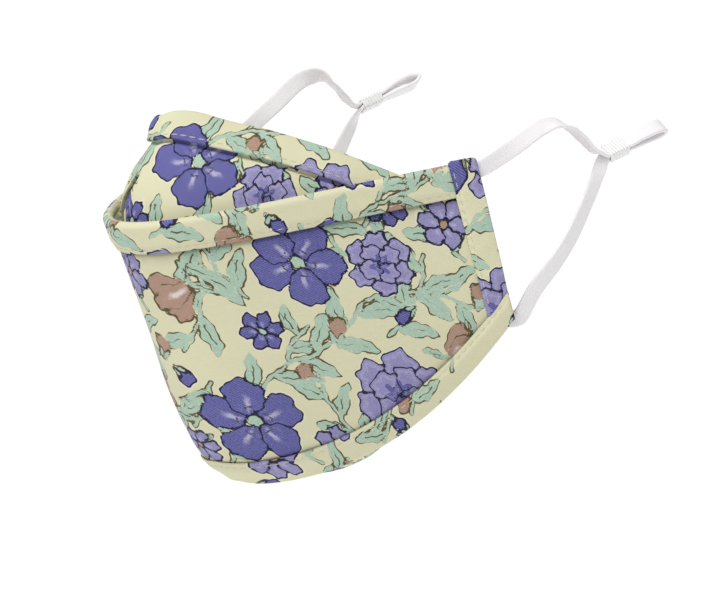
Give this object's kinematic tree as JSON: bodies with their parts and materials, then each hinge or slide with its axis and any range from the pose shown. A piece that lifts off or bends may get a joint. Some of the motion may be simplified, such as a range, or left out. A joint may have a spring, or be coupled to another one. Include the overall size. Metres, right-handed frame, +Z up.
{
  "type": "cloth face mask",
  "caption": "Curved cloth face mask with nose and chin panels, edge bands, a slit side sleeve at each end, and an elastic ear loop on each side with a small strap lock.",
  "frame": {"origin": "midway between the two side sleeves, on the line of the open back edges where the wearer's face sits", "axes": "+Z up the wearer's face, +Y back towards the wearer's head, +X to the wearer's left; the lips of the pleat point to -Y"},
  "size_m": [0.1328, 0.1475, 0.1166],
  "materials": {
    "printed_cotton": "satin",
    "cotton_edging": "satin",
    "white_elastic": "matt",
    "white_silicone": "satin"
  },
  "bodies": {
    "root": {"front_panel": "printed_cotton", "nose_panel": "printed_cotton", "chin_panel": "printed_cotton", "upper_band": "cotton_edging", "lower_band": "cotton_edging", "nose_hem": "cotton_edging", "side_casing_left": "cotton_edging", "side_casing_right": "cotton_edging", "ear_strap_left": "white_elastic", "ear_strap_right": "white_elastic", "strap_lock_left": "white_silicone", "strap_lock_right": "white_silicone"}
  },
  "joints": []
}
